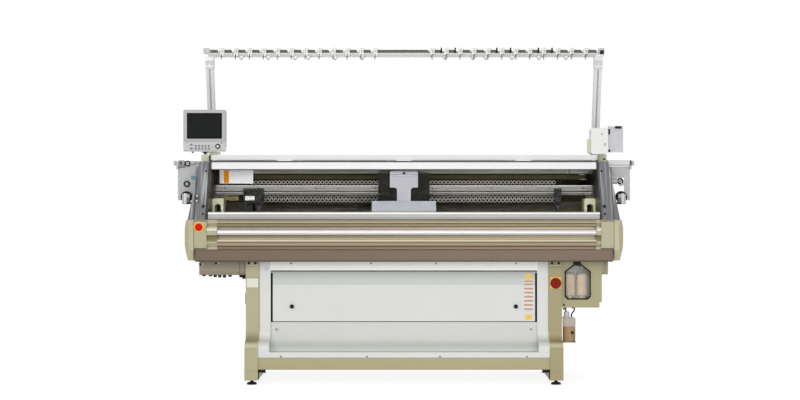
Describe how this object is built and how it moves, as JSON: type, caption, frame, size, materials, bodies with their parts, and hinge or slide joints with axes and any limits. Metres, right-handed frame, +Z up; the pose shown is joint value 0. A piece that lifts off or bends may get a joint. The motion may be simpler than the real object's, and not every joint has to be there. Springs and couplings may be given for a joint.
{
  "type": "flat knitting machine",
  "caption": "Computerised flat knitting machine with a travelling carriage over two sloped needle beds, a hinged clear cover, a yarn stand and a side panel.",
  "frame": {"origin": "on the floor, under the middle of the machine's box", "axes": "+X to the right of someone who faces the front, +Y away from them, +Z up"},
  "size_m": [2.72, 1, 1.994],
  "materials": {
    "beige_paint": "satin powder coat",
    "cover_paint": "satin paint",
    "brown_paint": "satin paint",
    "dark_paint": "matt paint",
    "white_paint": "satin powder coat",
    "grey_paint": "satin paint",
    "bed_steel": "ground steel",
    "bright_steel": "polished steel",
    "cast_aluminium": "fine cast, painted light grey",
    "extruded_aluminium": "anodised",
    "bronze_extrusion": "bronze anodised",
    "rubber": "matt",
    "roller_rubber": "ground rubber",
    "clear_sheet": "clear plastic sheet",
    "smoked_sheet": "smoked plastic sheet",
    "light_plastic": "fine texture",
    "white_plastic": "smooth",
    "black_plastic": "fine texture",
    "red_plastic": "glossy",
    "filter_paper": "pleated paper in a plastic cage",
    "oil": "clear bottle with amber oil"
  },
  "bodies": {
    "machine": {"leg_left": "beige_paint", "leg_right": "beige_paint", "levelling_feet": "rubber", "cross_beams": "beige_paint", "bed_frame": "dark_paint", "front_needle_bed": "bed_steel", "rear_needle_bed": "bed_steel", "skirt_frame": "white_paint", "fascia": "brown_paint", "front_tray": "bronze_extrusion", "corner_left": "cover_paint", "corner_right": "cover_paint", "end_cover_left": "cover_paint", "end_cover_right": "cover_paint", "end_frame_left": "beige_paint", "end_frame_right": "beige_paint", "carrier_rail": "bright_steel", "perforated_guard": "bright_steel", "guide_beam": "extruded_aluminium", "drive_belt": "rubber", "side_covers": "smoked_sheet", "rear_cover": "beige_paint", "yarn_table": "grey_paint", "yarn_post_left": "extruded_aluminium", "yarn_post_right": "extruded_aluminium", "yarn_beam": "extruded_aluminium", "electrical_box": "white_plastic", "clear_board": "clear_sheet", "side_plate_left": "grey_paint", "side_plate_right": "grey_paint", "filter_box": "cover_paint", "filter_cartridges": "filter_paper", "oil_bottle": "oil", "oil_hose": "rubber", "left_box": "cover_paint"},
    "front_cover": {"cover_top_rail": "extruded_aluminium", "cover_window": "clear_sheet", "cover_lower_bar": "extruded_aluminium"},
    "carriage": {"carriage_body": "dark_paint", "carriage_bridge": "cast_aluminium", "carriage_cover": "cast_aluminium"},
    "carrier_left": {"yarn_carrier_left": "black_plastic"},
    "carrier_right": {"yarn_carrier_right": "black_plastic"},
    "stop_bar": {"operation_bar": "bright_steel"},
    "emergency_stop": {"estop_button": "red_plastic"},
    "power_switch": {"main_switch": "red_plastic"},
    "panel": {"control_panel": "light_plastic"},
    "dial": {"panel_dial": "black_plastic"},
    "upper_key": {"panel_key_upper": "light_plastic"},
    "lower_key": {"panel_key_lower": "light_plastic"},
    "door": {"skirt_door": "white_paint"},
    "knob_left": {"door_knob_left": "black_plastic"},
    "knob_right": {"door_knob_right": "black_plastic"},
    "takedown": {"takedown_roller": "roller_rubber"},
    "nip": {"nip_roller": "bright_steel"},
    "pulley_left": {"drive_pulley": "extruded_aluminium"},
    "pulley_right": {"idle_pulley": "extruded_aluminium"},
    "feed_left": {"feed_roller_left": "white_plastic"},
    "feed_right": {"feed_roller_right": "white_plastic"},
    "lid": {"filter_lid": "clear_sheet"}
  },
  "joints": [
    {"name": "carriage_travel", "type": "slide", "parent": "machine", "child": "carriage", "axis": [1, 0, 0], "range_m": [-0.85, 0.85]},
    {"name": "carrier_left_travel", "type": "slide", "parent": "machine", "child": "carrier_left", "axis": [1, 0, 0], "range_m": [-0.08, 0.8]},
    {"name": "carrier_right_travel", "type": "slide", "parent": "machine", "child": "carrier_right", "axis": [1, 0, 0], "range_m": [-0.8, 0.08]},
    {"name": "front_cover_swing", "type": "hinge", "parent": "machine", "child": "front_cover", "pos_m": [0, -0.196, 1.291], "axis": [-1, 0, 0], "range_deg": [0, 70]},
    {"name": "stop_bar_turn", "type": "hinge", "parent": "machine", "child": "stop_bar", "pos_m": [0, -0.4585, 0.881], "axis": [1, 0, 0], "range_deg": [-20, 20], "stiffness_Nm_per_rad": 3},
    {"name": "emergency_stop_press", "type": "slide", "parent": "machine", "child": "emergency_stop", "axis": [0, 1, 0], "range_m": [0, 0.006], "stiffness_N_per_m": 800},
    {"name": "power_switch_turn", "type": "hinge", "parent": "machine", "child": "power_switch", "pos_m": [0.88, -0.33, 0.583], "axis": [0, 1, 0], "range_deg": [0, 90]},
    {"name": "panel_tilt", "type": "hinge", "parent": "machine", "child": "panel", "pos_m": [-1.18, -0.067, 1.356], "axis": [1, 0, 0], "range_deg": [-15, 20]},
    {"name": "dial_turn", "type": "hinge", "parent": "panel", "child": "dial", "pos_m": [-1.102, -0.112, 1.382], "axis": [0, 1, 0], "continuous": true},
    {"name": "upper_key_press", "type": "slide", "parent": "panel", "child": "upper_key", "axis": [0, 1, 0], "range_m": [0, 0.0015], "stiffness_N_per_m": 300},
    {"name": "lower_key_press", "type": "slide", "parent": "panel", "child": "lower_key", "axis": [0, 1, 0], "range_m": [0, 0.0015], "stiffness_N_per_m": 300},
    {"name": "door_swing", "type": "hinge", "parent": "machine", "child": "door", "pos_m": [0, -0.2925, 0.646], "axis": [-1, 0, 0], "range_deg": [0, 75]},
    {"name": "knob_left_turn", "type": "hinge", "parent": "door", "child": "knob_left", "pos_m": [-0.65, -0.31, 0.447], "axis": [0, 1, 0], "range_deg": [0, 90]},
    {"name": "knob_right_turn", "type": "hinge", "parent": "door", "child": "knob_right", "pos_m": [0.65, -0.31, 0.447], "axis": [0, -1, 0], "range_deg": [0, 90]},
    {"name": "takedown_turn", "type": "hinge", "parent": "machine", "child": "takedown", "pos_m": [0, -0.044, 0.56], "axis": [1, 0, 0], "continuous": true},
    {"name": "nip_turn", "type": "hinge", "parent": "machine", "child": "nip", "pos_m": [0, -0.121, 0.56], "axis": [1, 0, 0], "continuous": true},
    {"name": "drive_pulley_turn", "type": "hinge", "parent": "machine", "child": "pulley_left", "pos_m": [-1.078, 0.072, 1.2], "axis": [0, 0, 1], "continuous": true},
    {"name": "idle_pulley_turn", "type": "hinge", "parent": "machine", "child": "pulley_right", "pos_m": [1.078, 0.072, 1.2], "axis": [0, 0, 1], "continuous": true},
    {"name": "feed_left_turn", "type": "hinge", "parent": "machine", "child": "feed_left", "pos_m": [-1.317, -0.122, 1.283], "axis": [1, 0, 0], "continuous": true},
    {"name": "feed_right_turn", "type": "hinge", "parent": "machine", "child": "feed_right", "pos_m": [1.27, -0.122, 1.283], "axis": [1, 0, 0], "continuous": true},
    {"name": "lid_swing", "type": "hinge", "parent": "machine", "child": "lid", "pos_m": [1.092, -0.306, 0.59], "axis": [0, 0, 1], "range_deg": [0, 110]}
  ],
  "couplings": [
    {"joint": "nip_turn", "follows": "takedown_turn", "ratio": -1.5},
    {"joint": "drive_pulley_turn", "follows": "carriage_travel", "rad_per_m": 42.553},
    {"joint": "idle_pulley_turn", "follows": "carriage_travel", "rad_per_m": 42.553}
  ]
}
